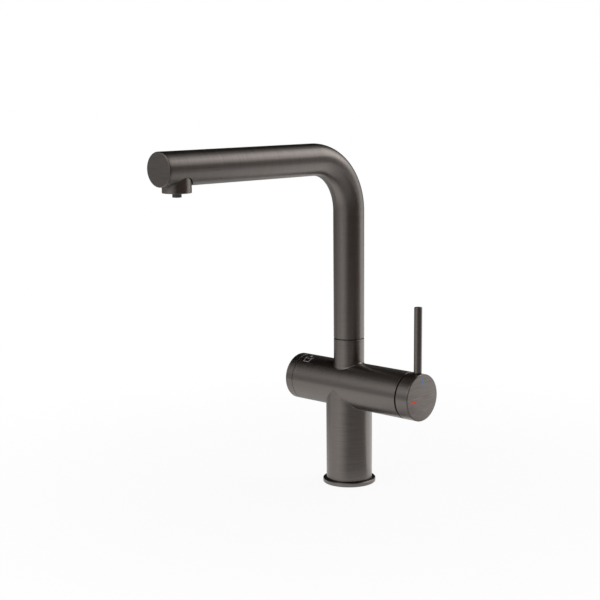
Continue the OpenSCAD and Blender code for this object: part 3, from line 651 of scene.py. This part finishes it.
camera_data = bpy.data.cameras.new("camera")
camera = new_object("camera", camera_data)
bpy.context.scene.camera = camera
camera_data.sensor_width = CAMERA_SENSOR
camera_data.lens = CAMERA_LENS
camera_data.shift_x, camera_data.shift_y = CAMERA_SHIFT
camera_data.clip_start, camera_data.clip_end = CAMERA_CLIP
camera.location = CAMERA_PLACE
aim(camera, CAMERA_AZIMUTH, CAMERA_ELEVATION)


# Studio: pale floor, white surroundings, soft lamps, and screens that show only in gloss

FOCUS = Vector((0.0, -0.08, 0.18))

# Strength of the white surroundings as light, where they aren't seen
WORLD_FILL = 0.55

# The floor takes a faint shadow near the object, and is plain white further out
FLOOR_REACH = 30
FLOOR_GREY = (0.88, 0.88, 0.88, 1)
FLOOR_FADE = (0.15, 0.6)
FLOOR_WHITE_NEAR = 0.91

# Flags stand round the object, and mats lie just over the floor
FLAG_DISTANCE = 1.5
FLAG_GRID = (8, 24)
MAT_GRID = (1, 24)
OVER_FLOOR = 1 * MM

# The darkest flags have a warm tint, as the darkest metal in the photograph does
DARKEST_GREY = 0.1
DARK_TINT = (1.35, 0.92, 0.80, 1)

# Name, range of azimuths, range of elevations, and the grey or the greys it runs between
FLAGS = (
    ("flag_front", (328, 364), (8, 62), 0.86),
    ("flag_front_edge", (4, 44), (8, 62), 0.86, 0.0),
    ("flag_right", (44, 129), (-8, 62), 0.085),
    ("flag_right_edge", (129, 153), (-8, 62), 0.085, 0.9),
    ("flag_back_edge", (176, 210), (-8, 62), 0.7, 0.02),
    ("flag_left", (210, 284), (8, 20), 0.012),
    ("flag_left_high", (210, 290), (20, 62), 0.012),
    ("flag_left_foot", (210, 240), (-8, 8), 0.02),
    ("flag_left_edge", (284, 328), (8, 20), 0.25, 0.55),
    ("flag_left_edge_high", (290, 328), (20, 62), 0.0, 0.46),
    ("flag_left_low", (240, 316), (-8, 8), 0.1, 0.5),
    ("flag_front_low", (-44, 10), (-8, 8), 0.48),
    ("flag_front_low_edge", (10, 44), (-8, 8), 0.48, 0.0),
    ("flag_over_left", (180, 346), (62, 90), 0.04),
    ("flag_over_right", (70, 180), (62, 90), 0.05),
)

# Name, range of azimuths, range of distances, and the grey or the greys it runs between
MATS = (
    ("mat_right", (34, 128), (0.05, 0.7), 0.42),
    ("mat_right_edge", (-4, 34), (0.05, 0.7), 0.9, 0.42),
    ("mat_right_far", (34, 128), (0.7, 1.5), 0.1),
    ("mat_front", (-62, 4), (0.62, 1.5), 0.46),
    ("mat_front_edge", (4, 34), (0.7, 1.5), 0.46, 0.1),
    ("mat_left", (222, 298), (0.25, 1.5), 0.47),
    ("mat_left_near", (200, 270), (0.08, 0.25), 0.72),
    ("mat_back", (130, 188), (0.05, 1.5), 1.34),
)


def seen_ray(tree):
    """1 for rays that show the surroundings: straight to the camera, or by gloss or glass."""
    path = tree.node("ShaderNodeLightPath").outputs
    seen = path["Is Camera Ray"]
    for name in ("Is Glossy Ray", "Is Transmission Ray"):
        seen = tree.math("MAXIMUM", seen, path[name])
    return seen


def make_world():
    world = bpy.data.worlds.new("surroundings")
    bpy.context.scene.world = world
    tree = NodeTree(world)
    fill = tree.node("ShaderNodeBackground", Color=WHITE, Strength=WORLD_FILL).outputs[0]
    white = tree.node("ShaderNodeBackground", Color=WHITE, Strength=1.0).outputs[0]
    tree.show(tree.mix_shaders(seen_ray(tree), fill, white), "ShaderNodeOutputWorld")


def new_mesh(name, points, faces):
    mesh = bpy.data.meshes.new(name)
    mesh.from_pydata(points, [], faces)
    return new_object(name, mesh)


def make_floor():
    """Pale floor that keeps the shadow near the object and fades to white further out."""
    r = FLOOR_REACH
    floor = new_mesh("floor", [(-r, -r, 0), (r, -r, 0), (r, r, 0), (-r, r, 0)], [(0, 1, 2, 3)])
    s = Shader("floor")
    diffuse = s.node("ShaderNodeBsdfDiffuse", Color=FLOOR_GREY).outputs[0]
    white = s.node("ShaderNodeEmission", Color=WHITE).outputs[0]
    fade = s.spread(s.length(s.place), *FLOOR_FADE, FLOOR_WHITE_NEAR, 1.0, "SMOOTHSTEP")
    s.show(s.mix_shaders(s.times(seen_ray(s), fade), diffuse, white))
    floor.data.materials.append(s.material)


def gloss_only(made, azimuths, greys):
    """Makes a stage piece that shows only in glossy reflections, and that runs from one grey
    to another between two azimuths."""
    made.visible_camera = False
    made.visible_diffuse = False
    made.visible_transmission = False
    made.visible_shadow = False
    s = Shader(made.name)
    azimuth = s.math("ARCTAN2", s.x, s.times(s.y, -1.0))
    turns = s.add(s.times(azimuth, 1 / math.tau), 1.0 - azimuths[0] / 360)
    along = s.times(s.math("FRACT", turns), 360 / (azimuths[1] - azimuths[0]))
    colour = DARK_TINT if max(greys) < DARKEST_GREY else WHITE
    strength = s.spread(along, 0.0, 1.0, greys[0], greys[1])
    s.show(s.node("ShaderNodeEmission", Color=colour, Strength=strength).outputs[0])
    made.data.materials.append(s.material)


def grid(rows, columns, point):
    """Points and faces of a sheet whose points come from point(across, up), both 0 to 1."""
    points = [point(i / columns, j / rows) for j in range(rows + 1) for i in range(columns + 1)]
    faces = [(k, k + 1, k + columns + 2, k + columns + 1)
             for j in range(rows) for i in range(columns) for k in [j * (columns + 1) + i]]
    return points, faces


def between(limits, share):
    return limits[0] + (limits[1] - limits[0]) * share


def flag(name, azimuths, elevations, *greys):
    """A curved screen round the object."""
    def point(across, up):
        direction = toward(between(azimuths, across), between(elevations, up))
        place = FOCUS + FLAG_DISTANCE * direction
        return place.x, place.y, max(place.z, OVER_FLOOR)
    gloss_only(new_mesh(name, *grid(*FLAG_GRID, point)), azimuths, (greys[0], greys[-1]))


def mat(name, azimuths, radii, *greys):
    """A sheet on the floor, part of a ring round the object."""
    def point(across, up):
        place = toward(between(azimuths, across), 0) * between(radii, up)
        return place.x, place.y, OVER_FLOOR
    gloss_only(new_mesh(name, *grid(*MAT_GRID, point)), azimuths, (greys[0], greys[-1]))


def softbox(name, azimuth, elevation, distance, width, height, radiance):
    data = bpy.data.lights.new(name, "AREA")
    data.shape = "RECTANGLE"
    data.size = width
    data.size_y = height
    data.energy = radiance * math.pi * width * height
    lamp = new_object(name, data)
    lamp.location = FOCUS + toward(azimuth, elevation) * distance
    aim(lamp, azimuth, elevation)


make_world()
make_floor()
for row in FLAGS:
    flag(*row)
for row in MATS:
    mat(*row)
softbox("key_front", azimuth=-9, elevation=34, distance=1.4, width=1.3, height=1.1,
        radiance=0.95)
softbox("back_light", azimuth=157, elevation=36, distance=1.3, width=0.9, height=0.7,
        radiance=1.85)

scene = bpy.context.scene
scene.view_settings.view_transform = "Standard"

bpy.context.view_layer.update()
